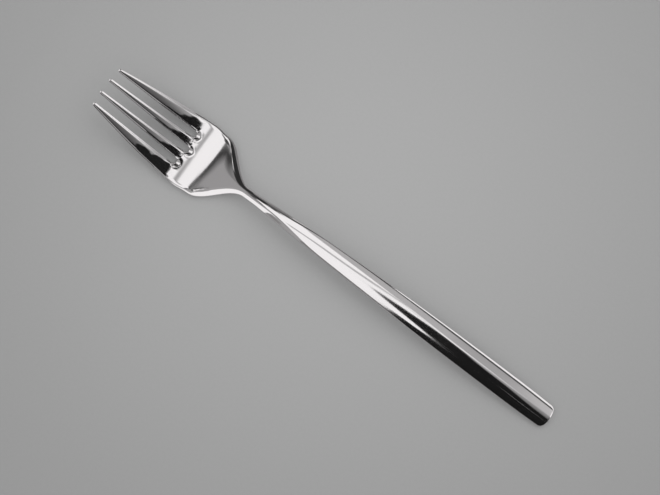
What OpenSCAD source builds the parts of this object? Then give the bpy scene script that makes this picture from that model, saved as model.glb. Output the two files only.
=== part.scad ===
// Dinner fork with four tines, forged and polished from one piece of steel.
// X runs along the fork from the tine points to the end of the handle, Y across it
// and Z up. The origin lies on the table, under the middle of the fork.

/* [Overall] */
// Length from the middle tine points to the end of the handle
fork_length = 200; // [180:1:215]
// Width of the head where it is widest
head_width = 26.6; // [24:0.1:29]
// Distance from the points to the widest place of the head
widest_at = 40; // [37:0.5:43]

/* [Tines] */
// Width over the outer tines at their points
points_width = 16.4; // [15.8:0.1:18]
// How far the outer tines stop short of the middle ones
outer_setback = 0.6; // [0:0.1:2]
// Distance from the points to the round ends of the outer gaps
outer_gap_depth = 38.4; // [34:0.2:40]
// How much deeper the middle gap is than the outer ones
middle_gap_extra = 1.1; // [0:0.1:2]
// Distance between the outer gaps at the points, centre to centre
gap_pitch_points = 10.3; // [10:0.1:10.8]
// Distance between the outer gaps at their round ends, centre to centre
gap_pitch_root = 12.1; // [11.4:0.1:12.6]
// Width of the outer gaps at the points
outer_gap_width = 3.5; // [3:0.1:3.8]
// Width of the middle gap at the points
middle_gap_width = 4.1; // [3.6:0.1:4.6]
// Width of every gap where its round end starts
root_gap_width = 2.3; // [1.6:0.1:2.8]
// Length over which each tine rounds off to its point
point_round = 0.7; // [0.4:0.1:1.2]
// Width of the polished rounding along each tine and gap
tine_roll_width = 0.5; // [0.3:0.05:0.55]
// Depth of that rounding at the edge
tine_roll_depth = 0.28; // [0.1:0.02:0.32]

/* [Shoulders and neck] */
// Distance from the points to where the shoulders turn in
shoulder_start = 46; // [44:0.5:48]
// Width of the head where the shoulders turn in
shoulder_width = 25.6; // [23:0.1:26.2]
// Distance from the points to where the shoulders meet the neck
shoulder_end = 63.5; // [61:0.5:66]
// Distance from the points to the narrowest place of the neck
neck_at = 67; // [66:0.5:72]
// Width of the neck
neck_width = 4.1; // [3.6:0.1:5]
// Width of the sloping edge band where it is widest, on the shoulders
band_width = 2.7; // [2:0.1:3]
// Depth of the edge band at the edge, on the shoulders
band_depth = 1.15; // [0.5:0.05:1.4]

/* [Handle] */
// Width of the handle where it is widest
handle_width = 9.7; // [8:0.1:11]
// Distance from the widest place of the handle to its end
widest_before_end = 18; // [12:1:30]
// Width of the handle just before its end corners
end_width = 9; // [7.6:0.1:10]
// Radius of the two corners at the end
corner_radius = 2; // [1:0.1:3]
// How far the middle of the end stands out past its corners
end_bow = 0.5; // [0:0.1:1]
// Radius of the crowned top across the handle
crown_radius = 12; // [9:0.5:30]
// Width of the rounding along the edges of the handle
handle_roll_width = 0.8; // [0.4:0.05:1.2]
// Depth of that rounding at the edge
handle_roll_depth = 0.4; // [0.1:0.05:0.5]

/* [Side view] */
// Distance from the points to the lowest place of the head
lowest_at = 42; // [39:0.5:44]
// Height of the underside at the points
points_rise = 10.4; // [8:0.1:13]
// Height of the underside at the neck
neck_rise = 3.4; // [2:0.1:6]
// Height of the underside at the crest of the handle
crest_rise = 5; // [4:0.1:8]
// Height of the underside half way between the crest and the flat
fall_rise = 3.5; // [2:0.1:5]
// Length of the flat that the end of the handle rests on
flat_length = 6; // [4:0.5:8]
// Slope of the handle down to its end, in degrees
end_angle = 5.5; // [3:0.5:6.5]

/* [Thickness] */
// Thickness of the tines at their points
points_thickness = 1.05; // [0.9:0.05:1.4]
// Thickness of the head
head_thickness = 2.2; // [1.6:0.1:3]
// Thickness of the neck
neck_thickness = 3.3; // [2.6:0.1:4.2]
// Thickness of the handle at its crest
crest_thickness = 3; // [2.4:0.1:4]
// Thickness of the handle at its end, before the flat is taken off
end_thickness = 2.6; // [2.3:0.1:3.2]

/* [Hidden] */

// Places across one tine where the surface is cut, in shares of the tine's width
cut_shares = [0, 0.12, 0.3, 0.5, 0.7, 0.88, 1];
cuts = len(cut_shares) - 1;
tines = 4;
gaps = tines - 1;
columns = tines * cuts;

// Stretches of rings along the fork, from the points to the end of the handle
point_rings = 3;
tine_rings = 13;
root_rings = 5;
plate_rings = 5;
shoulder_rings = 15;
neck_rings = 2;
handle_rings = 28;
flat_rings = 1;
corner_rings = 6;
tine_start = point_rings;
root_start = tine_start + tine_rings;
plate_start = root_start + root_rings;
shoulder_ring = plate_start + plate_rings;
neck_ring = shoulder_ring + shoulder_rings;
handle_ring = neck_ring + neck_rings;
flat_ring = handle_ring + handle_rings;
corner_ring = flat_ring + flat_rings;
last_ring = corner_ring + corner_rings;

// How blunt a point is, in shares of the tine's width and thickness
point_flat_share = 0.35;
// How the head's sides bow out, as a power of the distance from the widest place
side_bow_share = 1.4;
// How fast the handle widens behind the neck, as a power, and how softly it starts
swell_share = 2.5;
soft_start_share = 0.02;
// How sharply the smaller of two sizes takes over, as a power
soft_change_share = 4;
// The rings of the handle lie closer together near the neck
ring_crowd_share = 1.25;
// Widest edge band, in shares of the half width of the neck
band_limit_share = 0.92;
// Rounding of the underside, in shares of the rounding above it
back_width_share = 0.6;
back_depth_share = 0.4;
// Place of the crest, in shares of the way from the neck to the end
crest_share = 0.29;
// Length behind the neck over which the edge band narrows, in the same shares
band_end_share = 0.26;

handle_length = fork_length - neck_at;
handle_widest_at = fork_length - widest_before_end;
crest_at = neck_at + crest_share * handle_length;
flat_at = fork_length - flat_length;
fall_at = (crest_at + flat_at) / 2;
band_widest_at = (shoulder_start + shoulder_end) / 2;
band_end_at = neck_at + band_end_share * handle_length;

// Smooth step from 0 to 1 between two places
function ease(u) =
    let (v = min(max(u, 0), 1))
    v * v * v * (v * (6 * v - 15) + 10);
function blend(s, from_s, to_s, from_size, to_size) =
    from_size + (to_size - from_size) * ease((s - from_s) / (to_s - from_s));
function between(a, b, share) = a + (b - a) * share;
// The smaller of two sizes, with a soft change from one to the other
function soft_min(a, b) =
    pow(pow(a, -soft_change_share) + pow(b, -soft_change_share), -1 / soft_change_share);

// Half width of the head's outline, with bowed sides that draw in to the points
function head_half(s) =
    s < widest_at
        ? (head_width - (head_width - points_width)
            * pow((widest_at - max(s, 0)) / widest_at, side_bow_share)) / 2
        : blend(s, widest_at, shoulder_start, head_width, shoulder_width) / 2;
// 1 on the head and 0 on the neck, in a cosine curve along the shoulders
function shoulder(s) =
    let (u = min(max((s - shoulder_start) / (shoulder_end - shoulder_start), 0), 1))
    (1 + cos(180 * u)) / 2;
function swell(t) =
    let (soft = (sqrt(t * t + pow(soft_start_share, 2)) - soft_start_share)
            / (sqrt(1 + pow(soft_start_share, 2)) - soft_start_share))
    1 - pow(1 - soft, swell_share);
function handle_half(s) =
    s < handle_widest_at
        ? between(neck_width, handle_width,
            swell(max(s - neck_at, 0) / (handle_widest_at - neck_at))) / 2
        : between(handle_width, end_width, pow((s - handle_widest_at) / widest_before_end, 2)) / 2;
function square_half(s) = between(handle_half(s), head_half(s), shoulder(s));
// Half width of the whole outline, with the corners at the end rounded
function half_width(s) =
    let (past = s - (fork_length - corner_radius))
    past <= 0
        ? square_half(s)
        : square_half(s) - corner_radius + sqrt(max(pow(corner_radius, 2) - past * past, 0));

// The gaps between the tines: depth, round end, centre line and half width
function gap_depth(i) = outer_gap_depth + (i == 1 ? middle_gap_extra : 0);
function root_at(i) = gap_depth(i) - root_gap_width / 2;
function gap_y(i, s) =
    (i - 1) * between(gap_pitch_points, gap_pitch_root, min(s, root_at(i)) / root_at(i)) / 2;
function gap_half(i, s) =
    s < root_at(i)
        ? between(i == 1 ? middle_gap_width : outer_gap_width, root_gap_width,
            s / root_at(i)) / 2
        : sqrt(max(pow(root_gap_width / 2, 2) - pow(s - root_at(i), 2), 0));

// Distance from a place to the wall of a gap, and to the outline
function gap_distance(i, s, y) =
    s < root_at(i)
        ? abs(y - gap_y(i, s)) - gap_half(i, s)
        : norm([s - root_at(i), y - gap_y(i, s)]) - root_gap_width / 2;
function outline_distance(s, y) =
    let (step = fork_length / 1000,
         lean = (square_half(s + step) - square_half(s - step)) / (2 * step),
         side = (square_half(s) - abs(y)) / sqrt(1 + lean * lean),
         end = fork_length - s,
         corner = [corner_radius - end, corner_radius - side])
    min(corner) > 0 ? corner_radius - norm(corner) : min(side, end);

// Width and depth of the rounded band along the outline
function band_size(s, on_tines, on_shoulders, on_handle) =
    s < band_widest_at
        ? blend(s, widest_at, band_widest_at, on_tines, on_shoulders)
        : blend(s, neck_at, band_end_at, on_shoulders, on_handle);
function outline_roll_width(s) =
    soft_min(band_size(s, tine_roll_width, band_width, handle_roll_width),
        band_limit_share * square_half(s));
function outline_roll_depth(s) = band_size(s, tine_roll_depth, band_depth, handle_roll_depth);
function roll(distance, width, depth) =
    distance < width ? depth * pow(1 - max(distance, 0) / width, 2) : 0;
// Fall of the surface at a place, from the roundings along the outline and the gaps
function edge_fall(s, y, width_share, depth_share) =
    let (at_gaps = [for (i = [0:gaps - 1])
            roll(gap_distance(i, s, y), width_share * tine_roll_width, tine_roll_depth)])
    depth_share * (max(at_gaps) + roll(outline_distance(s, y),
        width_share * outline_roll_width(s), outline_roll_depth(s)));
// The handle's top is crowned across, and the head is flat across
function crown_fall(s, y) =
    ease((s - shoulder_start) / (neck_at - shoulder_start)) * y * y / (2 * crown_radius);

// Side view: a smooth arch through the rises, level at the head and sloping at the end
rises = [[lowest_at, 0], [neck_at, neck_rise], [crest_at, crest_rise],
    [fall_at, fall_rise], [flat_at, 0]];
// Slopes at the inner rises that make the curve bend without a jump
function slope_terms(k, i, before) =
    i > len(k) - 2 ? [] :
    let (a = k[i].x - k[i - 1].x,
         b = k[i + 1].x - k[i].x,
         right = 3 * ((k[i].y - k[i - 1].y) / (a * a) + (k[i + 1].y - k[i].y) / (b * b)),
         pivot = 2 * (1 / a + 1 / b) - before[0] / a,
         term = [1 / (b * pivot), (right - before[1] / a) / pivot])
    concat([term], slope_terms(k, i + 1, term));
function slopes_back(terms, i, next) =
    i < 0 ? [] :
    let (slope = terms[i][1] - terms[i][0] * next)
    concat(slopes_back(terms, i - 1, slope), [slope]);
end_slope = -tan(end_angle);
slopes = concat([0], slopes_back(slope_terms(rises, 1, [0, 0]), len(rises) - 3, end_slope),
    [end_slope]);
function rise_between(i, s) =
    let (run = rises[i + 1].x - rises[i].x,
         climb = rises[i + 1].y - rises[i].y,
         u = (s - rises[i].x) / run)
    rises[i].y + u * (slopes[i] * run
        + u * (3 * climb - run * (2 * slopes[i] + slopes[i + 1])
        + u * (run * (slopes[i] + slopes[i + 1]) - 2 * climb)));
// The bend at the lowest place goes on into the tines without a jump
lowest_run = neck_at - lowest_at;
lowest_bend = (3 * neck_rise - lowest_run * slopes[1]) / pow(lowest_run, 2);
point_bend = (points_rise - lowest_bend * pow(lowest_at, 2)) / pow(lowest_at, 3);
function tine_rise(run) = run * run * (lowest_bend + point_bend * run);
function arch(s) =
    s <= lowest_at ? tine_rise(lowest_at - s) :
    s >= flat_at ? end_slope * (s - flat_at) :
    rise_between(max([for (i = [0:len(rises) - 2]) if (s >= rises[i].x) i]), s);
function thickness(s) =
    s < lowest_at ? blend(s, 0, lowest_at, points_thickness, head_thickness) :
    s < neck_at ? blend(s, lowest_at, neck_at, head_thickness, neck_thickness) :
    s < crest_at ? blend(s, neck_at, crest_at, neck_thickness, crest_thickness) :
    blend(s, crest_at, fork_length, crest_thickness, end_thickness);

// Places of a ring's points along the fork, by ring, tine and cut
function point_at(tine) = tine == 0 || tine == tines - 1 ? outer_setback : 0;
function round_share(u) = point_flat_share + (1 - point_flat_share) * sqrt(1 - pow(1 - u, 2));
function gap_beside(tine, side) = min(max(tine - 1 + side, 0), gaps - 1);
function root_beside(tine, share) =
    between(root_at(gap_beside(tine, 0)), root_at(gap_beside(tine, 1)), share);
function station(ring, tine, share) =
    let (first = point_at(tine) + point_round, root = root_beside(tine, share),
         apex = root + root_gap_width / 2)
    ring <= tine_start ? point_at(tine) + point_round * (1 - cos(90 * ring / point_rings)) :
    ring <= root_start ? between(first, root, (ring - tine_start) / tine_rings) :
    ring <= plate_start ? root + root_gap_width / 2 * sin(90 * (ring - root_start) / root_rings) :
    ring <= shoulder_ring ? between(apex, shoulder_start, (ring - plate_start) / plate_rings) :
    ring <= neck_ring
        ? between(shoulder_start, shoulder_end, (ring - shoulder_ring) / shoulder_rings) :
    ring <= handle_ring ? between(shoulder_end, neck_at, (ring - neck_ring) / neck_rings) :
    ring <= flat_ring
        ? between(neck_at, flat_at, pow((ring - handle_ring) / handle_rings, ring_crowd_share)) :
    ring <= corner_ring
        ? between(flat_at, fork_length - corner_radius, (ring - flat_ring) / flat_rings) :
    fork_length - corner_radius + corner_radius * sin(90 * (ring - corner_ring) / corner_rings);

// Sides of a tine, and behind the gaps the same stripe of the head and handle
function tine_side(ring, tine, side) =
    let (outer = tine - 1 + side < 0 || tine - 1 + side > gaps - 1,
         s = station(ring, tine, side),
         i = gap_beside(tine, side))
    outer ? (2 * side - 1) * half_width(s) :
    ring <= plate_start ? gap_y(i, s) + (1 - 2 * side) * gap_half(i, s) :
    gap_y(i, s) * half_width(s) / half_width(gap_depth(i));
function across(ring, tine, share) =
    let (low = tine_side(ring, tine, 0),
         high = tine_side(ring, tine, 1),
         narrow = ring < tine_start
            ? round_share((station(ring, tine, share) - point_at(tine)) / point_round) : 1)
    (low + high) / 2 + (share - 1 / 2) * (high - low) * narrow;
// The end of the handle bows out in the middle
function bowed(s, y) =
    s - end_bow * ease((s - handle_widest_at) / widest_before_end) * pow(y / half_width(s), 2);

// The underside follows the arch, and where that dips below the table it is flat
function skin_point(ring, tine, share, top) =
    let (s = station(ring, tine, share),
         y = across(ring, tine, share),
         full = ring < tine_start ? round_share((s - point_at(tine)) / point_round) : 1,
         middle = arch(s) + thickness(s) / 2,
         upper = full * (thickness(s) / 2 - crown_fall(s, y) - edge_fall(s, y, 1, 1)),
         lower = full * (thickness(s) / 2
            - edge_fall(s, y, back_width_share, back_depth_share)))
    [bowed(s, y) - fork_length / 2, y, top ? middle + upper : max(middle - lower, 0)];

// Points: each tine has its own rows before the gaps' round ends, shared rows behind
row = cuts + 1;
split_ring_size = 2 * tines * row;
whole_row = columns + 1;
split_points = [for (ring = [0:plate_start - 1], tine = [0:tines - 1], top = [0:1], cut = [0:cuts])
    skin_point(ring, tine, cut_shares[cut], top == 1)];
whole_points = [for (ring = [plate_start:last_ring], top = [0:1], column = [0:columns])
    let (tine = min(floor(column / cuts), tines - 1))
    skin_point(ring, tine, cut_shares[column - tine * cuts], top == 1)];
function number(ring, tine, top, cut) =
    ring < plate_start
        ? ring * split_ring_size + (2 * tine + top) * row + cut
        : plate_start * split_ring_size
            + (2 * (ring - plate_start) + top) * whole_row + tine * cuts + cut;

// Faces: two triangles for each patch, clockwise seen from outside
function patch(a, b, c, d) = [[a, b, c], [a, c, d]];
function skin_patch(ring, tine, cut, top) =
    let (a = number(ring, tine, top, cut), b = number(ring, tine, top, cut + 1),
         c = number(ring + 1, tine, top, cut + 1), d = number(ring + 1, tine, top, cut))
    top == 1 ? patch(a, b, c, d) : patch(d, c, b, a);
function wall_patch(ring, tine, side) =
    let (cut = side * cuts,
         a = number(ring, tine, 0, cut), b = number(ring, tine, 1, cut),
         c = number(ring + 1, tine, 1, cut), d = number(ring + 1, tine, 0, cut))
    side == 0 ? patch(a, b, c, d) : patch(d, c, b, a);
function end_patch(ring, tine, cut, facing) =
    let (a = number(ring, tine, 0, cut), b = number(ring, tine, 1, cut),
         c = number(ring, tine, 1, cut + 1), d = number(ring, tine, 0, cut + 1))
    facing > 0 ? patch(a, b, c, d) : patch(d, c, b, a);
// A tine has a wall on a side where the outline or a gap runs beside it
function has_wall(ring, tine, side) =
    ring < plate_start || (tine == 0 && side == 0) || (tine == tines - 1 && side == 1);
fork_faces = [
    for (ring = [0:last_ring - 1], tine = [0:tines - 1], top = [0:1], cut = [0:cuts - 1])
        each skin_patch(ring, tine, cut, top),
    for (ring = [0:last_ring - 1], tine = [0:tines - 1], side = [0:1])
        if (has_wall(ring, tine, side)) each wall_patch(ring, tine, side),
    for (tine = [0:tines - 1], cut = [0:cuts - 1]) each end_patch(0, tine, cut, -1),
    for (tine = [0:tines - 1], cut = [0:cuts - 1]) each end_patch(last_ring, tine, cut, 1)
];

module fork() {
    color("silver")
        polyhedron(points = concat(split_points, whole_points), faces = fork_faces, convexity = 6);
}

fork();
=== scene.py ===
import math
from collections import defaultdict

import bmesh
import bpy
import numpy as np
from mathutils import Matrix, Vector


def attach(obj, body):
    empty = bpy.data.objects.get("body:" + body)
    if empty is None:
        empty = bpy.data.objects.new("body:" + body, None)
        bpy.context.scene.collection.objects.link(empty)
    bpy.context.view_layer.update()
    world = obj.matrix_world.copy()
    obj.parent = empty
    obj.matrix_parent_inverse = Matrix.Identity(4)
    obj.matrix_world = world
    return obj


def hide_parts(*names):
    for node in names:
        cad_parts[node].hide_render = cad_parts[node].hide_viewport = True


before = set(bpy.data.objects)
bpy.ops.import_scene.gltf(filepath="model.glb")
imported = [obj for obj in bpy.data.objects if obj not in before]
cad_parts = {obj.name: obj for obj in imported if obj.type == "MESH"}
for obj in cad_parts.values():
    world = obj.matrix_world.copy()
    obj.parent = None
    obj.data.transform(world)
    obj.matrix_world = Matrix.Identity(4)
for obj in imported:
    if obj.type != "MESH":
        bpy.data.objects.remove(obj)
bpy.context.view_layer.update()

# Lengths below are in millimetres, unless a comment says otherwise. They are turned into metres
# where a mesh or the camera is made.
MM = 0.001

# Outline of the fork, seen from above
FORK_LENGTH = 200.0
HEAD_WIDTH = 26.6
WIDEST_AT = 40.0
SIDE_BOW = 1.4
POINTS_WIDTH = 16.4
OUTER_SETBACK = 0.6
SHOULDER_START, SHOULDER_END, SHOULDER_WIDTH = 46.0, 63.5, 25.6
NECK_AT, NECK_WIDTH = 67.0, 4.1
HANDLE_WIDTH, END_WIDTH = 9.7, 9.0
WIDEST_BEFORE_END = 18.0
SWELL_POWER, SWELL_SOFTNESS = 2.5, 0.02
CORNER_RADIUS, END_BOW = 2.0, 0.5

# Gaps between the tines
TINES = 4
GAP_DEPTHS = (38.4, 39.5, 38.4)
GAP_DISH = 2.3
GAP_POINT_WIDTHS = (3.5, 4.1, 3.5)
ROOT_GAP_WIDTH = 2.3
GAP_PITCH_POINTS, GAP_PITCH_ROOT = 10.3, 12.1
POINT_ROUND, POINT_BLUNTNESS = 0.7, 0.12

# Side view
LOWEST_AT, FLAT_AT = 42.0, 194.0
END_ANGLE = math.radians(5.5)
CREST_AT = NECK_AT + 0.29 * (FORK_LENGTH - NECK_AT)
FALL_AT = (CREST_AT + FLAT_AT) / 2
POINTS_RISE, NECK_RISE, CREST_RISE, FALL_RISE = 10.4, 3.4, 5.0, 3.5
POINTS_THICKNESS, HEAD_THICKNESS, NECK_THICKNESS = 1.05, 2.2, 3.3
CREST_THICKNESS, END_THICKNESS = 3.0, 2.6

# Roundings of the polished edges
TINE_ROLL_WIDTH, TINE_ROLL_DEPTH = 0.8, 0.25
DISH_WIDTH, DISH_DEPTH = 2.6, 1.1
BAND_WIDTH, BAND_DEPTH = 2.7, 1.15
HANDLE_ROLL_WIDTH, HANDLE_ROLL_DEPTH = 0.6, 0.12
BAND_END_AT = NECK_AT + 0.26 * (FORK_LENGTH - NECK_AT)
BAND_LIMIT, BAND_LIMIT_POWER = 0.92, 4.0
BACK_WIDTH_SHARE, BACK_DEPTH_SHARE, BACK_EDGE_SHARE = 0.6, 0.4, 0.5
CROWN_RADIUS = 12.0
TINE_CROWN_RADIUS, TINE_CROWN_FADE, TINE_CROWN_END = 24.0, 6.0, 37.0
TINE_EDGE_RADIUS, HANDLE_EDGE_RADIUS, END_EDGE_RADIUS = 0.15, 0.4, 0.3

# The flat blank: rings along each stretch of the fork, and columns across each tine. The tines
# are apart in the split stretches.
RING_COUNTS = {"point": 8, "tine": 70, "root": 18, "plate": 30,
               "shoulder": 90, "neck": 14, "handle": 180, "corner": 16}
SPLIT_STRETCHES = ("point", "tine", "root")
PLATE_CROWDING, HANDLE_CROWDING = 1.8, 1.1
EDGE_STEPS = np.array([0, 0.006, 0.024, 0.052, 0.09, 0.14, 0.2, 0.27, 0.35, 0.44, 0.55, 0.7])
EDGE_SHARE = 0.8
INNER_COLUMNS = 6
CUTS = 2 * (len(EDGE_STEPS) - 1) + INNER_COLUMNS
# What only the forming tree reads from the blank
FORMING_VALUES = ("place", "across", "fullness", "side", "from_gap", "from_outline", "roll_width",
                  "roll_depth", "gap_roll_width", "gap_roll_depth", "tine_crown", "edge_radius")
# Steps and limits that the maths needs
LEAN_STEP, AT_POINTS, TINY = 0.2, 0.0001, 1e-6

# Polished steel. Marks, waves and smears are counted by the metre, and heights are in metres.
# Wear runs from one distance to the other from an edge.
STEEL_TINT, WORN_TINT = (0.80, 0.776, 0.781, 1), (0.73, 0.71, 0.715, 1)
POLISHED_ROUGHNESS, WORN_ROUGHNESS = 0.045, 0.16
MARKS_PER_METRE, MARK_HEIGHT = (120, 5200, 5200), 0.000000015
WAVES_PER_METRE, WAVE_HEIGHT = 110.0, 0.000004
SMEARS_PER_METRE, SMEAR_SHARE = 60.0, 0.3
SMEAR_FROM, SMEAR_TO = 0.35, 0.75
WORN_FROM, WORN_TO = 0.5, 0.05

# Floor, which is paler round its centre: a painted pool of light in its colour. It also has a
# faint painted glow that lightens its shadows. The centre and the reach are in metres.
FLOOR_DARKER, FLOOR_PALER = 0.325, 0.345
FLOOR_GRAINS_PER_METRE = 900.0
FLOOR_ROUGHNESS, FLOOR_SHEEN, FLOOR_GLOW = 0.7, 0.2, 0.08
PAINTED_POOL_CENTRE, PAINTED_POOL_REACH, PAINTED_POOL_EDGE = (-0.016, 0.030, 0), 0.20, 0.70
FLOOR_HALF = 3000

# Camera, worked out from the photograph's perspective. It sees 20 metres far.
CAMERA_TURN, CAMERA_LIFT = math.radians(36.805), math.radians(83.35)
CAMERA_TARGET, CAMERA_DISTANCE = (-0.4876, 2.5331, 0), 900
SENSOR_WIDTH, FOCAL_PIXELS, PICTURE_PIXELS = 36, 2483.3, 660
CAMERA_REACH = 20

# Light: levels of the room and the cards, how far the cards hang, the longest edge of a curved
# card in degrees and how often edges are halved, and the lamp in metres and watts
ROOM_LIGHT, ROOM_GREY = 0.78, 0.50
WHITE, DARK = 1.07, 0.010
FAR, NEAR_WALL_HEIGHT = 20000, 500
CARD_STEP, CARD_HALVINGS = 3, 8
LAMP_SIZE, LAMP_POWER, LAMP_PLACE = (2.6, 2.0), 14, (0.5, 1.3, 1.6)


# Below, s is a place along the fork from the tine points, and y a place across it.

def ease(u):
    v = np.clip(u, 0, 1)
    return v * v * v * (v * (6 * v - 15) + 10)


def blend(s, start, end, first, last):
    return first + (last - first) * ease((s - start) / (end - start))


def head_half(s):
    draw_in = (np.clip(WIDEST_AT - np.maximum(s, 0), 0, None) / WIDEST_AT) ** SIDE_BOW
    tined = (HEAD_WIDTH - (HEAD_WIDTH - POINTS_WIDTH) * draw_in) / 2
    plate = blend(s, WIDEST_AT, SHOULDER_START, HEAD_WIDTH, SHOULDER_WIDTH) / 2
    return np.where(s < WIDEST_AT, tined, plate)


def handle_half(s):
    widest = FORK_LENGTH - WIDEST_BEFORE_END
    t = np.clip((s - NECK_AT) / (widest - NECK_AT), 0, 1)
    soft = np.hypot(t, SWELL_SOFTNESS) - SWELL_SOFTNESS
    soft /= np.hypot(1, SWELL_SOFTNESS) - SWELL_SOFTNESS
    swell = 1 - np.clip(1 - soft, 0, None) ** SWELL_POWER
    taper = (np.clip(s - widest, 0, None) / WIDEST_BEFORE_END) ** 2
    before = NECK_WIDTH + (HANDLE_WIDTH - NECK_WIDTH) * swell
    after = HANDLE_WIDTH + (END_WIDTH - HANDLE_WIDTH) * taper
    return np.where(s < widest, before, after) / 2


def square_half(s):
    u = np.clip((s - SHOULDER_START) / (SHOULDER_END - SHOULDER_START), 0, 1)
    shoulder = (1 + np.cos(np.pi * u)) / 2
    handle = handle_half(s)
    return handle + (head_half(s) - handle) * shoulder


def half_width(s):
    past = np.clip(s - (FORK_LENGTH - CORNER_RADIUS), 0, CORNER_RADIUS)
    return square_half(s) - CORNER_RADIUS + np.sqrt(CORNER_RADIUS**2 - past**2)


def root_at(gap):
    return GAP_DEPTHS[gap] - GAP_DISH - ROOT_GAP_WIDTH / 2


def gap_y(gap, s):
    share = np.minimum(s, root_at(gap)) / root_at(gap)
    return (gap - 1) * (GAP_PITCH_POINTS + (GAP_PITCH_ROOT - GAP_PITCH_POINTS) * share) / 2


def gap_half(gap, s):
    root = root_at(gap)
    straight = GAP_POINT_WIDTHS[gap] + (ROOT_GAP_WIDTH - GAP_POINT_WIDTHS[gap]) * s / root
    bend = np.sqrt(np.clip((ROOT_GAP_WIDTH / 2) ** 2 - (s - root) ** 2, 0, None))
    return np.where(s < root, straight / 2, bend)


def gap_distance(gap, s, y):
    root = root_at(gap)
    beside = np.abs(y - gap_y(gap, s)) - gap_half(gap, s)
    behind = np.hypot(s - root, y - gap_y(gap, s)) - ROOT_GAP_WIDTH / 2
    return np.where(s < root, beside, behind)


def outline_distance(s, y):
    lean = (square_half(s + LEAN_STEP) - square_half(s - LEAN_STEP)) / (2 * LEAN_STEP)
    side = (square_half(s) - np.abs(y)) / np.sqrt(1 + lean * lean)
    end = FORK_LENGTH - s
    a, b = CORNER_RADIUS - end, CORNER_RADIUS - side
    corner = CORNER_RADIUS - np.hypot(a, b)
    return np.where(np.minimum(a, b) > 0, corner, np.minimum(side, end))


def gap_roll_sizes(s, y):
    """Width and depth of the roll beside a gap, which opens to a dish behind its end."""
    width, depth = np.full_like(s, TINE_ROLL_WIDTH), np.full_like(s, TINE_ROLL_DEPTH)
    for gap in range(TINES - 1):
        behind, beside_it = s - root_at(gap), y - gap_y(gap, s)
        away = np.hypot(behind, beside_it)
        near = away < ROOT_GAP_WIDTH / 2 + DISH_WIDTH
        turned = np.clip(behind / np.maximum(away, TINY), 0, 1) ** 2 * near
        width = width + (DISH_WIDTH - TINE_ROLL_WIDTH) * turned
        depth = depth + (DISH_DEPTH - TINE_ROLL_DEPTH) * turned
    return width, depth


def roll_sizes(s):
    """Width and depth of the rounded band along the outline."""
    middle = (SHOULDER_START + SHOULDER_END) / 2

    def along(tine, band, handle):
        return np.where(s < middle, blend(s, WIDEST_AT, middle, tine, band),
                        blend(s, NECK_AT, BAND_END_AT, band, handle))

    width = along(TINE_ROLL_WIDTH, BAND_WIDTH, HANDLE_ROLL_WIDTH)
    depth = along(TINE_ROLL_DEPTH, BAND_DEPTH, HANDLE_ROLL_DEPTH)
    limit = BAND_LIMIT * square_half(s)
    narrower = width**-BAND_LIMIT_POWER + limit**-BAND_LIMIT_POWER
    return narrower ** (-1 / BAND_LIMIT_POWER), depth


def edge_radius(s):
    widening = blend(s, SHOULDER_START, BAND_END_AT, TINE_EDGE_RADIUS, HANDLE_EDGE_RADIUS)
    return widening + blend(s, CREST_AT, FORK_LENGTH, 0, END_EDGE_RADIUS - HANDLE_EDGE_RADIUS)


def ring_places():
    """Stretches of the rings, each as its kind and its shares of the stretch."""
    def even(kind, last=1):
        return np.linspace(0, last, RING_COUNTS[kind] + 1)

    quarter_turn = np.pi / 2
    return [
        ("point", 1 - np.cos(even("point", quarter_turn))[:-1]),
        ("tine", even("tine")[:-1]),
        ("root", np.sin(even("root", quarter_turn))[:-1]),
        ("plate", even("plate")[:-1] ** PLATE_CROWDING),
        ("shoulder", even("shoulder")[:-1]),
        ("neck", even("neck")[:-1]),
        ("handle", even("handle")[:-1] ** HANDLE_CROWDING),
        ("corner", np.sin(even("corner", quarter_turn))),
    ]


def beside(tine, side):
    """The gap on one side of a tine, or the nearest gap for an outer side."""
    return int(np.clip(tine - 1 + side, 0, TINES - 2))


def is_outer(tine, side):
    return (tine == 0 and side == 0) or (tine == TINES - 1 and side == 1)


def point_at(tine):
    return OUTER_SETBACK if tine in (0, TINES - 1) else 0.0


def stations(kind, share, tine, across):
    """Places along the fork of one ring on one tine, for shares across the tine."""
    first = point_at(tine) + POINT_ROUND
    low_root, high_root = root_at(beside(tine, 0)), root_at(beside(tine, 1))
    root = low_root + (high_root - low_root) * across
    apex = root + ROOT_GAP_WIDTH / 2
    corner = FORK_LENGTH - CORNER_RADIUS
    start, end = {
        "point": (point_at(tine), first), "tine": (first, root), "root": (root, apex),
        "plate": (apex, SHOULDER_START), "shoulder": (SHOULDER_START, SHOULDER_END),
        "neck": (SHOULDER_END, NECK_AT), "handle": (NECK_AT, corner),
        "corner": (corner, FORK_LENGTH),
    }[kind]
    # The last term keeps one number for each share, where the ends are the same for all
    return start + (end - start) * share + 0 * across


def side_y(kind, share, tine, side):
    """Where the side of a tine runs, and behind the gaps the side of its stripe."""
    s = stations(kind, share, tine, float(side))
    if is_outer(tine, side):
        return (2 * side - 1) * half_width(s)
    gap = beside(tine, side)
    if kind in SPLIT_STRETCHES:
        return gap_y(gap, s) + (1 - 2 * side) * gap_half(gap, s)
    return gap_y(gap, s) * half_width(s) / half_width(GAP_DEPTHS[gap])


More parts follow.
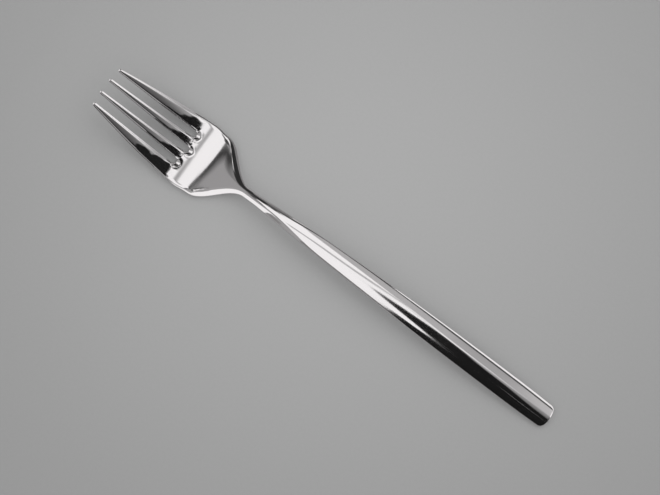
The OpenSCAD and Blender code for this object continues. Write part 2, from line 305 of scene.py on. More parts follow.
def ring_row(kind, share, tine):
    """What is stored along one ring's columns on one tine."""
    low, high = side_y(kind, share, tine, 0), side_y(kind, share, tine, 1)
    half = (high - low) / 2
    steps = EDGE_STEPS * min(1.0, EDGE_SHARE * half / EDGE_STEPS[-1])
    inner = np.linspace(steps[-1], 2 * half - steps[-1], INNER_COLUMNS + 1)[1:-1]
    across = np.concatenate([steps, inner, (2 * half - steps)[::-1]]) / (2 * half)
    s = stations(kind, share, tine, across)
    fullness = np.ones_like(s)
    if kind == "point":
        rounding = math.sqrt(max(1 - (1 - share) ** 2, 0))
        fullness = (POINT_BLUNTNESS + (1 - POINT_BLUNTNESS) * rounding) * fullness
    from_middle = (across - 0.5) * 2 * half
    y = (low + high) / 2 + from_middle * fullness
    crown_left = blend(s, TINE_CROWN_END - TINE_CROWN_FADE, TINE_CROWN_END, 1, 0)
    return {"place": s, "across": y, "fullness": fullness,
            "tine_crown": from_middle**2 / (2 * TINE_CROWN_RADIUS) * crown_left,
            "from_gap": np.min([gap_distance(g, s, y) for g in range(TINES - 1)], axis=0)}


def blank_points(rings, split):
    """What is stored at each point, and the point of each ring, tine, skin and column."""
    stored, index = defaultdict(list), {}
    for r, (kind, share) in enumerate(rings):
        for tine in range(TINES):
            row = ring_row(kind, share, tine)
            for skin in (0, 1):
                for c in range(CUTS + 1):
                    if r >= split and c == 0 and tine > 0:
                        index[r, tine, skin, c] = index[r, tine - 1, skin, CUTS]
                        continue
                    index[r, tine, skin, c] = len(stored["side"])
                    stored["side"].append(2.0 * skin - 1)
                    for name, values in row.items():
                        stored[name].append(values[c])
    return {name: np.array(values) for name, values in stored.items()}, index


def blank_faces(rings, split, index):
    """Both skins, the walls along the sides and the gaps, and the two ends, facing outwards."""
    faces = []

    def patch(places, flip):
        points = [index[place] for place in (reversed(places) if flip else places)]
        corners = tuple(dict.fromkeys(points))
        if len(corners) > 2:
            faces.append(corners)

    for r in range(len(rings) - 1):
        for tine in range(TINES):
            for skin in (0, 1):
                for c in range(CUTS):
                    patch([(r, tine, skin, c), (r, tine, skin, c + 1),
                           (r + 1, tine, skin, c + 1), (r + 1, tine, skin, c)], skin == 1)
            for side in (0, 1):
                if r < split or is_outer(tine, side):
                    c = side * CUTS
                    patch([(r, tine, 0, c), (r, tine, 1, c),
                           (r + 1, tine, 1, c), (r + 1, tine, 0, c)], side == 0)
    for r, flip in ((0, False), (len(rings) - 1, True)):
        for tine in range(TINES):
            for c in range(CUTS):
                patch([(r, tine, 0, c), (r, tine, 1, c),
                       (r, tine, 1, c + 1), (r, tine, 0, c + 1)], flip)
    return faces


def fork_blank():
    """Flat two-skinned blank as a mesh, with what the forming tree reads as attributes."""
    rings = [(kind, share) for kind, shares in ring_places() for share in shares]
    split = sum(1 for kind, _ in rings if kind in SPLIT_STRETCHES)
    values, index = blank_points(rings, split)
    s, y = values["place"], values["across"]
    values["from_outline"] = outline_distance(s, y)
    values["edge_distance"] = np.minimum(values["from_outline"], values["from_gap"])
    values["roll_width"], values["roll_depth"] = roll_sizes(s)
    values["gap_roll_width"], values["gap_roll_depth"] = gap_roll_sizes(s, y)
    values["edge_radius"] = edge_radius(s)
    bow = END_BOW * ease((s - (FORK_LENGTH - WIDEST_BEFORE_END)) / WIDEST_BEFORE_END)
    bow = bow * (y / np.maximum(half_width(s), TINY)) ** 2
    flat = np.stack([(s - bow - FORK_LENGTH / 2) * MM, y * MM, np.zeros_like(s)], axis=1)
    mesh = bpy.data.meshes.new("fork_blank")
    mesh.from_pydata(flat.tolist(), [], blank_faces(rings, split, index))
    for name, stored in values.items():
        layer = mesh.attributes.new(name, "FLOAT", "POINT")
        layer.data.foreach_set("value", np.asarray(stored, np.float32))
    return mesh


def side_view_slopes():
    """Slopes at the rises of the side view, for a curve that bends without a jump."""
    at = np.array([LOWEST_AT, NECK_AT, CREST_AT, FALL_AT, FLAT_AT])
    rise = np.array([0, NECK_RISE, CREST_RISE, FALL_RISE, 0])
    run, n = np.diff(at), len(at)
    system, right = np.eye(n), np.zeros(n)
    for i in range(1, n - 1):
        system[i, i - 1:i + 2] = 1 / run[i - 1], 2 / run[i - 1] + 2 / run[i], 1 / run[i]
        right[i] = 3 * ((rise[i] - rise[i - 1]) / run[i - 1] ** 2
                        + (rise[i + 1] - rise[i]) / run[i] ** 2)
    right[-1] = -math.tan(END_ANGLE)
    return at, rise, np.linalg.solve(system, right)


def join(tree, value, socket):
    """Puts a link or a constant on a socket."""
    if isinstance(value, bpy.types.NodeSocket):
        tree.links.new(value, socket)
    else:
        socket.default_value = value


def add_node(tree, kind, values=None, **settings):
    """A new node with its settings, and with a link or a constant on each named input."""
    made = tree.nodes.new(kind)
    for name, value in settings.items():
        setattr(made, name, value)
    for name, value in (values or {}).items():
        join(tree, value, made.inputs[name])
    return made


class Tree:
    """Short way to write maths in a geometry tree."""

    def __init__(self, tree):
        self.tree = tree

    def node(self, kind, values=None, **settings):
        return add_node(self.tree, kind, values, **settings)

    def link(self, value, socket):
        join(self.tree, value, socket)

    def math(self, operation, *values, clamp=False):
        made = self.node("ShaderNodeMath", operation=operation, use_clamp=clamp)
        for value, socket in zip(values, made.inputs):
            self.link(value, socket)
        return made.outputs[0]

    def attribute(self, name):
        made = self.node("GeometryNodeInputNamedAttribute", {"Name": name}, data_type="FLOAT")
        return made.outputs["Attribute"]

    def group(self, tree, **values):
        return self.node("GeometryNodeGroup", node_tree=tree, values=values).outputs[0]


def value_group(name, inputs, output):
    """An empty group of float sockets, with its inputs and the socket that it puts out."""
    tree = bpy.data.node_groups.new(name, "GeometryNodeTree")
    for label in inputs:
        tree.interface.new_socket(label, in_out="INPUT", socket_type="NodeSocketFloat")
    tree.interface.new_socket(output, in_out="OUTPUT", socket_type="NodeSocketFloat")
    made = Tree(tree)
    entry = made.node("NodeGroupInput")
    exit_node = made.node("NodeGroupOutput")
    return made, entry.outputs, exit_node.inputs[0]


def bend_group():
    """One stretch of a smooth curve between two places, and nothing outside it."""
    t, given, out = value_group(
        "bend_between", ["place", "start", "end", "first", "last", "slope_in", "slope_out"],
        "height")
    run = t.math("SUBTRACT", given["end"], given["start"])
    u = t.math("DIVIDE", t.math("SUBTRACT", given["place"], given["start"]), run)
    climb = t.math("SUBTRACT", given["last"], given["first"])
    a = t.math("MULTIPLY", given["slope_in"], run)
    b = t.math("MULTIPLY", given["slope_out"], run)
    third = t.math("SUBTRACT", t.math("ADD", a, b), t.math("MULTIPLY", climb, 2.0))
    second = t.math("SUBTRACT", t.math("MULTIPLY", climb, 3.0),
                    t.math("ADD", t.math("MULTIPLY", a, 2.0), b))
    curve = t.math("MULTIPLY_ADD", u, third, second)
    curve = t.math("MULTIPLY_ADD", u, curve, a)
    curve = t.math("MULTIPLY_ADD", u, curve, given["first"])
    inside = t.math("MULTIPLY", t.math("GREATER_THAN", given["place"], given["start"]),
                    t.math("SUBTRACT", 1.0, t.math("GREATER_THAN", given["place"], given["end"])))
    t.link(t.math("MULTIPLY", curve, inside), out)
    return t.tree


def ease_group():
    """Soft step from one size to another between two places."""
    t, given, out = value_group("ease_between", ["place", "start", "end", "first", "last"], "size")
    u = t.math("DIVIDE", t.math("SUBTRACT", given["place"], given["start"]),
               t.math("SUBTRACT", given["end"], given["start"]), clamp=True)
    inner = t.math("MULTIPLY_ADD", u, t.math("MULTIPLY_ADD", u, 6.0, -15.0), 10.0)
    step = t.math("MULTIPLY", t.math("POWER", u, 3.0), inner)
    t.link(t.math("MULTIPLY_ADD", step, t.math("SUBTRACT", given["last"], given["first"]),
                  given["first"]), out)
    return t.tree


def roll_group():
    """Fall of the surface towards an edge: a wide soft band, then a tight round."""
    t, given, out = value_group("edge_roll", ["distance", "width", "depth", "radius"], "fall")
    near = t.math("MAXIMUM", given["distance"], 0.0)
    left = t.math("SUBTRACT", 1.0, t.math("DIVIDE", near, given["width"]), clamp=True)
    band = t.math("MULTIPLY", t.math("MULTIPLY", left, left), given["depth"])
    part = t.math("SUBTRACT", 1.0, t.math("DIVIDE", near, given["radius"]), clamp=True)
    arc = t.math("SQRT", t.math("SUBTRACT", 1.0, t.math("MULTIPLY", part, part), clamp=True))
    round_fall = t.math("MULTIPLY", t.math("SUBTRACT", 1.0, arc), given["radius"])
    t.link(t.math("ADD", band, round_fall), out)
    return t.tree


def forming_tree(material):
    """Presses the flat blank to the side view, crowns the handle and rounds the edges."""
    at, rise, slope = side_view_slopes()
    run = NECK_AT - LOWEST_AT
    lowest_bend = (3 * NECK_RISE - run * slope[1]) / run**2
    point_bend = (POINTS_RISE - lowest_bend * LOWEST_AT**2) / LOWEST_AT**3
    point_slope = -(2 * lowest_bend * LOWEST_AT + 3 * point_bend * LOWEST_AT**2)
    bend, soft, roll = bend_group(), ease_group(), roll_group()

    tree = bpy.data.node_groups.new("form_fork", "GeometryNodeTree")
    tree.interface.new_socket("Geometry", in_out="INPUT", socket_type="NodeSocketGeometry")
    sizes = {
        "Points at": 0.0, "Lowest at": at[0], "Neck at": at[1], "Crest at": at[2],
        "Fall at": at[3], "Flat at": at[4],
        "End at": FORK_LENGTH, "End drop": slope[4] * (FORK_LENGTH - FLAT_AT),
        "Points rise": POINTS_RISE, "Neck rise": rise[1], "Crest rise": rise[2],
        "Fall rise": rise[3],
        "Points slope": point_slope, "Neck slope": slope[1], "Crest slope": slope[2],
        "Fall slope": slope[3], "End slope": slope[4], "Points thickness": POINTS_THICKNESS,
        "Head thickness": HEAD_THICKNESS, "Neck thickness": NECK_THICKNESS,
        "Crest thickness": CREST_THICKNESS, "End thickness": END_THICKNESS,
        "Crown radius": CROWN_RADIUS, "Crown starts at": SHOULDER_START,
        "Back edge share": BACK_EDGE_SHARE, "Back width share": BACK_WIDTH_SHARE,
        "Back depth share": BACK_DEPTH_SHARE, "Millimetre": MM,
    }
    sockets = {}
    for label, value in sizes.items():
        socket = tree.interface.new_socket(label, in_out="INPUT", socket_type="NodeSocketFloat")
        sockets[label] = (socket.identifier, float(value))
    tree.interface.new_socket("Geometry", in_out="OUTPUT", socket_type="NodeSocketGeometry")
    t = Tree(tree)
    given = t.node("NodeGroupInput").outputs
    place, across = t.attribute("place"), t.attribute("across")
    side, fullness = t.attribute("side"), t.attribute("fullness")

    spans = [("Points at", "Lowest at", "Points rise", None, "Points slope", None),
             ("Lowest at", "Neck at", None, "Neck rise", None, "Neck slope"),
             ("Neck at", "Crest at", "Neck rise", "Crest rise", "Neck slope", "Crest slope"),
             ("Crest at", "Fall at", "Crest rise", "Fall rise", "Crest slope", "Fall slope"),
             ("Fall at", "Flat at", "Fall rise", None, "Fall slope", "End slope"),
             ("Flat at", "End at", None, "End drop", "End slope", "End slope")]
    underside = 0.0
    for names in spans:
        start, end, first, last, slope_in, slope_out = [given[n] if n else 0.0 for n in names]
        piece = t.group(bend, place=place, start=start, end=end, first=first, last=last,
                        slope_in=slope_in, slope_out=slope_out)
        underside = t.math("ADD", underside, piece)
    # The tine points lie exactly at place 0, where the first span's test is open
    at_start = t.math("LESS_THAN", place, AT_POINTS)
    underside = t.math("MULTIPLY_ADD", at_start, given["Points rise"], underside)

    thickness = t.group(soft, place=place, start=given["Points at"], end=given["Lowest at"],
                        first=given["Points thickness"], last=given["Head thickness"])
    for start, end, first, last in (
            ("Lowest at", "Neck at", "Head thickness", "Neck thickness"),
            ("Neck at", "Crest at", "Neck thickness", "Crest thickness"),
            ("Crest at", "End at", "Crest thickness", "End thickness")):
        change = t.math("SUBTRACT", given[last], given[first])
        step = t.group(soft, place=place, start=given[start], end=given[end],
                       first=0.0, last=change)
        thickness = t.math("ADD", thickness, step)

    crown_on = t.group(soft, place=place, start=given["Crown starts at"], end=given["Neck at"],
                       first=0.0, last=1.0)
    crown = t.math("DIVIDE", t.math("MULTIPLY", across, across),
                   t.math("MULTIPLY", given["Crown radius"], 2.0))
    crown = t.math("MULTIPLY_ADD", crown, crown_on, t.attribute("tine_crown"))

    on_top = t.math("GREATER_THAN", side, 0.0)
    width_share, depth_share, edge_share = [
        t.group(soft, place=on_top, start=0.0, end=1.0, first=given[label], last=1.0)
        for label in ("Back width share", "Back depth share", "Back edge share")]
    radius = t.math("MULTIPLY", t.attribute("edge_radius"), edge_share)

    def edge_fall(distance, width, depth):
        return t.group(roll, distance=t.attribute(distance), radius=radius,
                       width=t.math("MULTIPLY", t.attribute(width), width_share),
                       depth=t.math("MULTIPLY", t.attribute(depth), depth_share))

    fall = t.math("ADD", edge_fall("from_gap", "gap_roll_width", "gap_roll_depth"),
                  edge_fall("from_outline", "roll_width", "roll_depth"))
    fall = t.math("MULTIPLY_ADD", crown, on_top, fall)
    half = t.math("MULTIPLY", thickness, 0.5)
    away = t.math("MULTIPLY", t.math("SUBTRACT", half, fall), fullness)
    height = t.math("MULTIPLY_ADD", away, side, t.math("ADD", underside, half))
    height = t.math("MAXIMUM", height, 0.0)

    shift = t.node("ShaderNodeCombineXYZ",
                   {"Z": t.math("MULTIPLY", height, given["Millimetre"])})
    form = t.node("GeometryNodeSetPosition",
                  {"Geometry": given["Geometry"], "Offset": shift.outputs["Vector"]})
    realize = t.node("GeometryNodeRealizeInstances", {"Geometry": form.outputs["Geometry"]})
    finish = t.node("GeometryNodeSetMaterial",
                    {"Geometry": realize.outputs["Geometry"], "Material": material})
    t.node("NodeGroupOutput", {"Geometry": finish.outputs["Geometry"]})
    return tree, sockets


def formed_fork(material):
    """The fork's final mesh as an object, with only what its polish reads left on it."""
    blank = bpy.data.objects.new("fork_blank", fork_blank())
    bpy.context.scene.collection.objects.link(blank)
    tree, sockets = forming_tree(material)
    modifier = blank.modifiers.new("form", "NODES")
    modifier.node_group = tree
    for identifier, value in sockets.values():
        modifier[identifier] = value
    depsgraph = bpy.context.evaluated_depsgraph_get()
    mesh = bpy.data.meshes.new_from_object(blank.evaluated_get(depsgraph), depsgraph=depsgraph)
    blank.modifiers.remove(modifier)
    bpy.data.objects.remove(blank)
    for name in FORMING_VALUES:
        mesh.attributes.remove(mesh.attributes[name])
    mesh.name = "polished_fork"
    mesh.shade_smooth()
    fork = bpy.data.objects.new("polished_fork", mesh)
    bpy.context.scene.collection.objects.link(fork)
    return fork


def grey(level):
    return (level, level, level, 1)


def polish_group():
    """Lengthwise polish marks, soft waves of the pressed sheet and worn edges."""
    tree = bpy.data.node_groups.new("polish_marks", "ShaderNodeTree")
    for label, way, kind in (
            ("Place", "INPUT", "Vector"), ("Edge distance", "INPUT", "Float"),
            ("Polished roughness", "INPUT", "Float"), ("Worn roughness", "INPUT", "Float"),
            ("Wave height", "INPUT", "Float"), ("Mark height", "INPUT", "Float"),
            ("Roughness", "OUTPUT", "Float"), ("Wear", "OUTPUT", "Float"),
            ("Normal", "OUTPUT", "Vector")):
        tree.interface.new_socket(label, in_out=way, socket_type="NodeSocket" + kind)
    given = add_node(tree, "NodeGroupInput").outputs

    def noise(place, scale, detail):
        made = add_node(tree, "ShaderNodeTexNoise",
                        {"Vector": place, "Scale": scale, "Detail": detail})
        return made.outputs["Fac"]

    stretch = add_node(tree, "ShaderNodeMapping",
                       {"Vector": given["Place"], "Scale": MARKS_PER_METRE})
    marks = noise(stretch.outputs["Vector"], scale=1.0, detail=3.0)
    waves = noise(given["Place"], scale=WAVES_PER_METRE, detail=1.0)
    smears = noise(given["Place"], scale=SMEARS_PER_METRE, detail=4.0)

    worn = add_node(tree, "ShaderNodeMapRange", {
        "Value": given["Edge distance"], "From Min": WORN_FROM, "From Max": WORN_TO},
        interpolation_type="SMOOTHSTEP")
    patchy = add_node(tree, "ShaderNodeMath", operation="MULTIPLY")
    join(tree, worn.outputs["Result"], patchy.inputs[0])
    join(tree, smears, patchy.inputs[1])
    smear = add_node(tree, "ShaderNodeMapRange",
                     {"Value": smears, "From Min": SMEAR_FROM, "From Max": SMEAR_TO})
    faint = add_node(tree, "ShaderNodeMath", operation="MULTIPLY")
    join(tree, smear.outputs["Result"], faint.inputs[0])
    join(tree, SMEAR_SHARE, faint.inputs[1])
    both = add_node(tree, "ShaderNodeMath", operation="MAXIMUM")
    join(tree, faint.outputs["Value"], both.inputs[0])
    join(tree, patchy.outputs["Value"], both.inputs[1])
    rough = add_node(tree, "ShaderNodeMapRange", {
        "Value": both.outputs["Value"],
        "To Min": given["Polished roughness"], "To Max": given["Worn roughness"]})

    wave = add_node(tree, "ShaderNodeBump",
                    {"Height": waves, "Distance": given["Wave height"], "Strength": 1.0})
    mark = add_node(tree, "ShaderNodeBump",
                    {"Height": marks, "Distance": given["Mark height"], "Strength": 1.0,
                     "Normal": wave.outputs["Normal"]})
    add_node(tree, "NodeGroupOutput", {
        "Roughness": rough.outputs["Result"], "Wear": patchy.outputs["Value"],
        "Normal": mark.outputs["Normal"]})
    return tree


def principled(name, values):
    """A new material, its tree and its Principled BSDF with the given constants."""
    material = bpy.data.materials.new(name)
    material.use_nodes = True
    tree = material.node_tree
    shader = tree.nodes["Principled BSDF"]
    for label, value in values.items():
        shader.inputs[label].default_value = value
    return material, tree, shader


def polished_steel():
    material, tree, shader = principled("polished_steel", {"Metallic": 1.0})
    place = add_node(tree, "ShaderNodeTexCoord")
    edge = add_node(tree, "ShaderNodeAttribute", attribute_name="edge_distance")
    polish = add_node(tree, "ShaderNodeGroup", {
        "Place": place.outputs["Object"], "Edge distance": edge.outputs["Fac"],
        "Polished roughness": POLISHED_ROUGHNESS, "Worn roughness": WORN_ROUGHNESS,
        "Wave height": WAVE_HEIGHT, "Mark height": MARK_HEIGHT}, node_tree=polish_group())
    tint = add_node(tree, "ShaderNodeMix", {
        "Factor": polish.outputs["Wear"], "A": STEEL_TINT, "B": WORN_TINT}, data_type="RGBA")
    join(tree, tint.outputs["Result"], shader.inputs["Base Color"])
    join(tree, polish.outputs["Roughness"], shader.inputs["Roughness"])
    join(tree, polish.outputs["Normal"], shader.inputs["Normal"])
    return material


def pale_floor():
    """Smooth pale sheet with a faint fibre grain, a painted pool of light round its centre and a
    little light of its own, a painted glow that lightens its shadows.
    """
    # The emission is a painted glow, which lightens the floor's shadows and the gaps between the
    # tines.
    material, tree, shader = principled("pale_floor", {
        "Roughness": FLOOR_ROUGHNESS, "Specular IOR Level": FLOOR_SHEEN,
        "Emission Color": grey(1), "Emission Strength": FLOOR_GLOW})
    place = add_node(tree, "ShaderNodeTexCoord").outputs["Object"]
    grain = add_node(tree, "ShaderNodeTexNoise",
                     {"Vector": place, "Scale": FLOOR_GRAINS_PER_METRE, "Detail": 2.0})
    tint = add_node(tree, "ShaderNodeMix", {
        "Factor": grain.outputs["Fac"], "A": grey(FLOOR_DARKER), "B": grey(FLOOR_PALER)},
        data_type="RGBA")
    # Painted pool of light: the base colour is scaled down from the centre outwards, paler in the
    # middle and darker towards the edge.
    centre = add_node(tree, "ShaderNodeMapping", {"Vector": place, "Location": PAINTED_POOL_CENTRE},
                      vector_type="TEXTURE")
    away = add_node(tree, "ShaderNodeVectorMath", operation="LENGTH")
    join(tree, centre.outputs["Vector"], away.inputs[0])
    fall = add_node(tree, "ShaderNodeMapRange", {
        "Value": away.outputs["Value"], "From Max": PAINTED_POOL_REACH,
        "To Min": 1.0, "To Max": PAINTED_POOL_EDGE}, interpolation_type="SMOOTHSTEP")
    painted_pool_tone = add_node(tree, "ShaderNodeVectorMath", {"Scale": fall.outputs["Result"]},
                     operation="SCALE")
    join(tree, tint.outputs["Result"], painted_pool_tone.inputs[0])
    join(tree, painted_pool_tone.outputs["Vector"], shader.inputs["Base Color"])
    return material


def camera():
    """The photograph's view: nearly from above, with the fork turned across the frame."""
    right = Vector((math.cos(CAMERA_TURN), math.sin(CAMERA_TURN), 0))
    ahead = Vector((-math.sin(CAMERA_TURN), math.cos(CAMERA_TURN), 0))
    above = Vector((0, 0, 1))
    back = -ahead * math.cos(CAMERA_LIFT) + above * math.sin(CAMERA_LIFT)
    up = ahead * math.sin(CAMERA_LIFT) + above * math.cos(CAMERA_LIFT)
    place = Vector(CAMERA_TARGET) + back * CAMERA_DISTANCE
    data = bpy.data.cameras.new("camera")
    data.sensor_width = SENSOR_WIDTH
    data.lens = FOCAL_PIXELS * SENSOR_WIDTH / PICTURE_PIXELS
    data.clip_end = CAMERA_REACH
    seen = bpy.data.objects.new("camera", data)
    bpy.context.scene.collection.objects.link(seen)
    axes = Matrix((right, up, back)).transposed().to_4x4()
    seen.matrix_world = Matrix.Translation(place * MM) @ axes
    bpy.context.scene.camera = seen


def put_on_stage(name, mesh, material, only_polish_sees_it=True):
    """Adds a mesh of the studio, by default a card that is hidden but for its reflection."""
    mesh.materials.append(material)
    staged = bpy.data.objects.new(name, mesh)
    bpy.context.scene.collection.objects.link(staged)
    if only_polish_sees_it:
        staged.visible_camera = staged.visible_diffuse = staged.visible_shadow = False


def flat_mesh(name, corners):
    """A flat sheet through the given corners."""
    mesh = bpy.data.meshes.new(name)
    in_metres = [tuple(v * MM for v in corner) for corner in corners]
    mesh.from_pydata(in_metres, [], [tuple(range(len(corners)))])
    return mesh


def card_material(name, level=None):
    """A glow of one level, or else of the levels stored at the corners, for a soft rim."""
    material = bpy.data.materials.new(name)
    material.use_nodes = True
    tree = material.node_tree
    tree.nodes.remove(tree.nodes["Principled BSDF"])
    if level is None:
        stored = add_node(tree, "ShaderNodeAttribute", attribute_name="level")
        level = stored.outputs["Fac"]
    glow = add_node(tree, "ShaderNodeEmission", {"Strength": level})
    join(tree, glow.outputs["Emission"], tree.nodes["Material Output"].inputs["Surface"])
    return material


def overhead(lean_x, lean_y, distance):
    """A place over the table, by its lean from straight up towards +X and +Y, in degrees."""
    lean = math.radians(math.hypot(lean_x, lean_y))
    round_angle = math.atan2(lean_y, lean_x)
    return (distance * math.sin(lean) * math.cos(round_angle),
            distance * math.sin(lean) * math.sin(round_angle), distance * math.cos(lean))


def outward(outline):
    """For each corner of an outline, the direction that points out of it."""
    points = np.array(outline, float)
    ahead, behind = np.roll(points, -1, 0) - points, points - np.roll(points, 1, 0)
    ahead /= np.linalg.norm(ahead, axis=1)[:, None]
    behind /= np.linalg.norm(behind, axis=1)[:, None]
    x, y = points.T
    area = np.sum(x * np.roll(y, -1) - np.roll(x, -1) * y)
    normal = np.stack([ahead[:, 1] + behind[:, 1], -ahead[:, 0] - behind[:, 0]], 1) * np.sign(area)
    return normal / np.linalg.norm(normal, axis=1)[:, None]


def curved_card(name, material, draw, distance):
    """A card bent round the table, from a flat drawing in degrees of lean."""
    drawing = bmesh.new()
    draw(drawing, drawing.verts.layers.float.new("level"))
    for _ in range(CARD_HALVINGS):
        bmesh.ops.triangulate(drawing, faces=drawing.faces[:])
        long_edges = [e for e in drawing.edges if e.calc_length() > CARD_STEP]
        if not long_edges:
            break
        bmesh.ops.subdivide_edges(drawing, edges=long_edges, cuts=1)
    for vert in drawing.verts:
        vert.co = Vector(overhead(vert.co.x, vert.co.y, distance)) * MM
    mesh = bpy.data.meshes.new(name)
    drawing.to_mesh(mesh)
    drawing.free()
    put_on_stage(name, mesh, material)


def studio_card(name, material, outline, *, nearer, level, rim, rim_level):
    """A card with one level and a soft rim, somewhat nearer than the farthest card."""
    points, normal = np.array(outline, float), outward(outline)
    inner, outer = points - normal * rim / 2, points + normal * rim / 2

    def draw(drawing, glow):
        inside = [drawing.verts.new((x, y, 0)) for x, y in inner]
        outside = [drawing.verts.new((x, y, 0)) for x, y in outer]
        for vert in inside:
            vert[glow] = level
        for vert in outside:
            vert[glow] = rim_level
        drawing.faces.new(inside)
        for i in range(len(inside)):
            j = (i + 1) % len(inside)
            drawing.faces.new((inside[i], inside[j], outside[j], outside[i]))

    curved_card(name, material, draw, FAR - nearer)


def graded_card(name, material, rails, levels, *, nearer):
    """A card through rails of points, its level changing from rail to rail and along them."""
    def draw(drawing, glow):
        rows = []
        for rail, rail_levels in zip(rails, levels):
            row = [drawing.verts.new((x, y, 0)) for x, y in rail]
            for vert, value in zip(row, np.broadcast_to(rail_levels, len(row))):
                vert[glow] = float(value)
            rows.append(row)
        for upper, lower in zip(rows[:-1], rows[1:]):
            for i in range(len(upper) - 1):
                drawing.faces.new((upper[i], upper[i + 1], lower[i + 1], lower[i]))

    curved_card(name, material, draw, FAR - nearer)


def level_card(name, material, rails, levels, *, height):
    """A flat sheet over the table through rails of points, each rail with its own level."""
    count = len(rails[0])
    verts = [(x * MM, y * MM, height * MM) for rail in rails for x, y in rail]
    faces = [(r * count + i, r * count + i + 1, (r + 1) * count + i + 1, (r + 1) * count + i)
             for r in range(len(rails) - 1) for i in range(count - 1)]
    mesh = bpy.data.meshes.new(name)
    mesh.from_pydata(verts, [], faces)
    glow = mesh.attributes.new("level", "FLOAT", "POINT")
    glow.data.foreach_set("value", np.repeat(np.array(levels, np.float32), count))
    put_on_stage(name, mesh, material)


def near_card(name, level, axis, at, corners):
    """A small card close to the fork and square to one axis, which its corners leave out."""
    spot = "xyz".index(axis)
    mesh = flat_mesh(name, [(*corner[:spot], at, *corner[spot:]) for corner in corners])
    put_on_stage(name, mesh, card_material(name, level))


def soft_room():
    """Even light all round, which the camera and the polish see as a darker grey."""
    world = bpy.data.worlds.new("soft_room")
    bpy.context.scene.world = world
    world.use_nodes = True
    tree = world.node_tree
    room = tree.nodes["Background"]
    room.inputs["Color"].default_value = grey(ROOM_LIGHT)
    seen = add_node(tree, "ShaderNodeBackground", {"Color": grey(ROOM_GREY)})
    path = add_node(tree, "ShaderNodeLightPath")
    either = add_node(tree, "ShaderNodeMath", operation="MAXIMUM")
    mix = add_node(tree, "ShaderNodeMixShader")
    join(tree, path.outputs["Is Camera Ray"], either.inputs[0])
    join(tree, path.outputs["Is Glossy Ray"], either.inputs[1])
    join(tree, either.outputs[0], mix.inputs[0])
    join(tree, room.outputs[0], mix.inputs[1])
    join(tree, seen.outputs[0], mix.inputs[2])
    join(tree, mix.outputs[0], tree.nodes["World Output"].inputs["Surface"])


def end_walls(card):
    """The wall past the tine points: far above, and close with a soft dark rim."""
    studio_card("end_wall", card, [
        (-75, -85), (-19, -85), (-19, -1), (-25, 3), (-25, 9), (-19.5, 10), (-19.5, 75),
        (-75, 75)], nearer=0, level=0.385, rim=0.5, rim_level=0.385)
    # The close wall's rails start at its rim and lie further and further back
    rim = np.array([
        (-140, -260), (-158, -110), (-190, -40), (-196, 26), (-202, 34), (-220, 42), (-232, 48.7),
        (-232, 58), (-222, 68), (-206, 80), (-192, 100), (-168, 122), (-136, 152), (-110, 205)])
    spread = np.zeros_like(rim)
    spread[:, 0] = [0.2, 0.2, 0.35, 0.5, 0.65, 0.9, 1, 1, 1.1, 1.2, 2.5, 4, 4, 4]
    rails = [rim - back * spread for back in (0, 14, 26, 44, 80)] + [rim - (700, 0)]
    level_card("near_end_wall", card, rails, [0.16, 0.05, 0.06, 0.16, 0.36, 0.385],
               height=NEAR_WALL_HEIGHT)


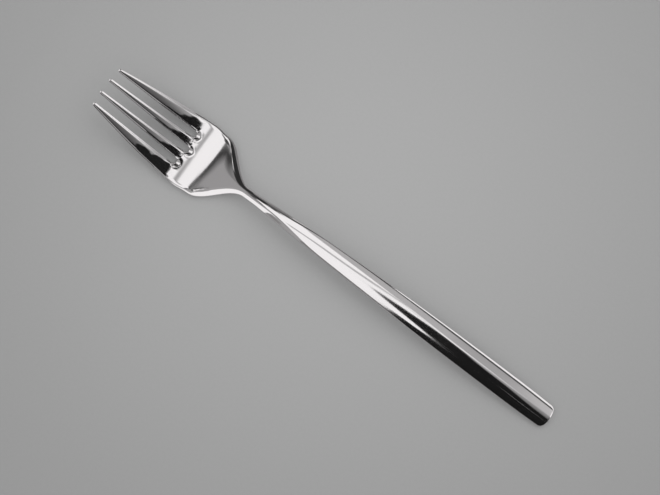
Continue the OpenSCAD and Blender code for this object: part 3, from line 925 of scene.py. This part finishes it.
def far_cards(card):
    """Cards far above the table, each hanging somewhat nearer than the one before."""
    # The side wall that the lower edge of the handle sees
    edge = np.array([(-22, 2), (-17.3, -3), (-13, -6.5), (-8, -14.5), (-4, -21.5), (-1.2, -26),
                     (4, -32)])
    rails = [edge + (0.5, 2), edge - (0, 2.5), edge - (0, 5), edge - (0, 12),
             edge * (1.3, 0) - (0, 85)]
    graded_card("lower_wall", card, rails, [0.07, 0.07, 0.2, 0.24, 0.28], nearer=600)
    studio_card("overhead_softbox", card, [
        (-26, 8.6), (-26, 3), (-18, 2), (-17.3, -1), (-17.2, -3), (-13, -6.5), (-8, -14.5),
        (-4, -21.5), (-1.2, -26), (4, -32), (14, -32), (14, 12.5), (11, 13), (8, 16), (4, 20),
        (0, 21.5), (-4.5, 22.5), (-6.5, 27), (-8, 36), (-14, 36), (-14.5, 22), (-17.3, 14),
        (-20.7, 9)], nearer=900, level=WHITE, rim=0.5, rim_level=0.6)
    studio_card("softbox_seam", card, [
        (-9.3, 0.5), (-7.6, -1), (-2.2, 4), (0.2, 9), (1.6, 14), (3.8, 20), (2.8, 20.4),
        (0.2, 14), (-1.4, 9.4), (-4.1, 5)], nearer=1200, level=0.42, rim=1.0, rim_level=0.9)
    studio_card("upper_screen", card, [
        (-45, 16), (-28, 20), (-21.5, 27), (-19, 33), (-15, 39), (-4, 38.2), (7.5, 38.2),
        (7.5, 42), (3, 43), (1, 62), (-45, 62)], nearer=1500, level=0.03, rim=1.2, rim_level=0.3)
    # What the tines see: dark below, grey at their tops, bright at their upper edges
    columns = [7.5, 9.5, 11.5, 14, 17, 20, 24, 60]
    shades = [(88, [0.5, 0.55, 0.65, 0.8, 1.0, 1.1, 1.15, 1.15]),
              (45, [0.44, 0.46, 0.5, 0.72, 0.95, 1.05, 1.15, 1.15]),
              (36, [0.44, 0.42, 0.41, 0.62, 0.9, 1.05, 1.15, 1.15]),
              (14, [0.46, 0.43, 0.42, 0.58, 0.85, 1.0, 1.1, 1.1]),
              (11.5, [0.44, 0.41, 0.38, 0.38, 0.45, 0.5, 0.55, 0.55]),
              (8.5, [0.44, 0.40, 0.34, 0.28, 0.21, 0.16, 0.15, 0.15]),
              (5.5, [0.42, 0.36, 0.30, 0.235, 0.18, 0.13, 0.12, 0.12]),
              (2.5, [0.36, 0.30, 0.24, 0.17, 0.14, 0.11, 0.10, 0.10]),
              (-0.5, [0.12, 0.10, 0.09, 0.08, 0.075, 0.07, 0.06, 0.06]),
              (-4, [0.02] * 8), (-88, [0.02] * 8)]
    graded_card("tine_wall", card, [[(x, y) for x in columns] for y, _ in shades],
                [row for _, row in shades], nearer=1800)
    studio_card("softbox_edge", card, [
        (5, 18.5), (4, 16), (7, 12.4), (11, 12), (13, 12.2), (12, 13), (8, 16)],
        nearer=1950, level=1.0, rim=0.9, rim_level=0.45)
    studio_card("dark_screen", card, [
        (2, 1), (2.7, 3), (3.4, 5.2), (4.6, 7.5), (5.4, 9.8), (6.2, 11.4), (7.2, 11.8),
        (8, 11.2), (8.8, 10.4), (9.4, 9.2), (9.8, 7), (10.6, 5.9), (11.6, 5.5), (12.3, 4.4),
        (12.8, 1.8), (13.6, -0.2), (14.6, -0.8), (16.2, 0), (17.6, -0.4), (18.8, -2.6),
        (20.4, -5), (24, -6.5), (85, -6.5), (85, -88), (2, -88), (2.3, -30), (3, -23),
        (5, -21.8), (6.3, -19.5), (6.5, -17), (5.5, -13.5), (3.5, -10), (2, -7), (1.2, -4),
        (1.4, -1)], nearer=2100, level=DARK, rim=0.8, rim_level=0.3)
    studio_card("strip_light", card, [
        (11.8, -11.2), (13.6, -12.2), (13.6, -12.6), (11.8, -11.6)],
        nearer=2300, level=0.4, rim=0.2, rim_level=0.2)


def near_cards():
    """Cards beside the fork, which its head, shoulders, neck and handle see differently."""
    for name, level, axis, at, corners in (
            ("lower_reflector", WHITE, "y", -45,
             [(-64, 6), (-42, 6), (-42, 80), (-49, 80), (-53, 46), (-64, 46)]),
            ("shoulder_reflector", WHITE, "y", -20, [(-50, 1), (-31, 1), (-31, 26), (-50, 26)]),
            ("lower_side_card", 0.38, "y", -46,
             [(-80, 40), (-31, 40), (-31, 18), (-18, 12), (-18, 130), (-80, 130)]),
            ("upper_flag", 0.03, "y", 45, [(-50, 22), (-42, 22), (-42, 110), (-50, 110)]),
            ("upper_flag_foot", 0.24, "y", 45, [(-64, 1), (-26, 1), (-26, 22), (-64, 22)]),
            ("upper_flag_side", 0.12, "y", 45, [(-42, 22), (-28, 22), (-28, 50), (-42, 50)]),
            ("shoulder_flag", 0.03, "y", 20,
             [(-53, 8), (-40, 8), (-40, 90), (-50, 90), (-53, 50)]),
            ("outer_tine_flag", 0.012, "z", 23.5,
             [(-73, -8), (-72, -7), (-70.3, -5.6), (-68.8, -5.6), (-68, -7.4), (-67.3, -5.4),
              (-66.6, -3.8), (-65.4, -2.4), (-64.2, -2.4), (-63.5, -3.2), (-63.2, -5),
              (-63.2, -20), (-73, -20)]),
            ("lower_shoulder_flag", 0.385, "z", 33,
             [(-58, -9.5), (-50, -12), (-46, -18), (-47, -24), (-53, -20), (-58, -15)]),
            ("edge_reflector", 1.05, "y", 120, [(30, 10), (260, 10), (260, 129), (30, 129)]),
            ("edge_flag", 0.08, "y", 122, [(30, 129), (260, 129), (260, 158), (30, 158)]),
            ("point_reflector", WHITE, "x", -130, [(-26, 5), (26, 5), (26, 100), (-26, 100)])):
        near_card(name, level, axis, at, corners)


def key_softbox():
    """One large soft lamp, which the polish and the camera don't see."""
    key = bpy.data.lights.new("key_softbox", "AREA")
    key.shape = "RECTANGLE"
    key.size, key.size_y = LAMP_SIZE
    key.energy = LAMP_POWER
    lamp = bpy.data.objects.new("key_softbox", key)
    bpy.context.scene.collection.objects.link(lamp)
    lamp.visible_glossy = lamp.visible_camera = False
    lamp.location = LAMP_PLACE
    lamp.rotation_euler = (-lamp.location).to_track_quat("-Z", "Y").to_euler()


def studio():
    corners = [(-FLOOR_HALF, -FLOOR_HALF, 0), (FLOOR_HALF, -FLOOR_HALF, 0),
               (FLOOR_HALF, FLOOR_HALF, 0), (-FLOOR_HALF, FLOOR_HALF, 0)]
    put_on_stage("floor", flat_mesh("floor", corners), pale_floor(), only_polish_sees_it=False)
    soft_room()
    card = card_material("soft_card")
    end_walls(card)
    far_cards(card)
    near_cards()
    key_softbox()


camera()
fork = formed_fork(polished_steel())
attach(fork, "root")
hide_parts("fork")
studio()
bpy.context.scene.view_settings.view_transform = "Standard"
